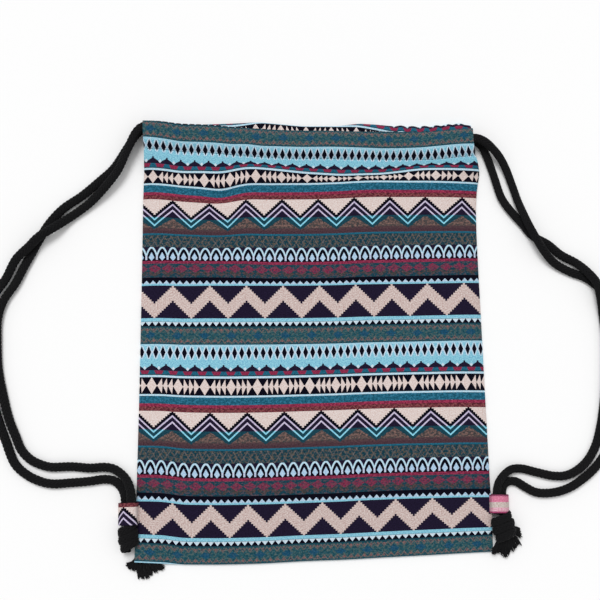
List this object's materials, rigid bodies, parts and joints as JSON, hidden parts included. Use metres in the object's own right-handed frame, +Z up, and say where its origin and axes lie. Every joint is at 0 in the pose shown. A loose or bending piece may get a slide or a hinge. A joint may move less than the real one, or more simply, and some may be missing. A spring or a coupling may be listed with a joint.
{
  "type": "drawstring backpack",
  "caption": "Flat drawstring backpack of woven striped cloth: a cord tunnel along the mouth, and braided cords that run out as shoulder straps to knotted side tabs.",
  "frame": {"origin": "middle of the bag and tabs seen from above, on the surface the back panel rests on; the free straps are left out", "axes": "+X to the bag's right, +Y towards the mouth, +Z up off the resting surface"},
  "size_m": [0.5774, 0.4095, 0.0224],
  "materials": {
    "printed_cotton": "printed woven cotton in stripes of teal, light blue, cream, navy, maroon and brown",
    "tab_cotton": "offcut of the printed cotton",
    "braided_cord": "near-black matt braid"
  },
  "bodies": {
    "root": {"back_panel": "printed_cotton", "front_panel": "printed_cotton", "left_tab": "tab_cotton", "right_tab": "tab_cotton", "left_cord_run": "braided_cord", "right_cord_run": "braided_cord", "left_strap_front": "braided_cord", "left_strap_back": "braided_cord", "right_strap_front": "braided_cord", "right_strap_back": "braided_cord", "left_knot": "braided_cord", "right_knot": "braided_cord"}
  },
  "joints": []
}
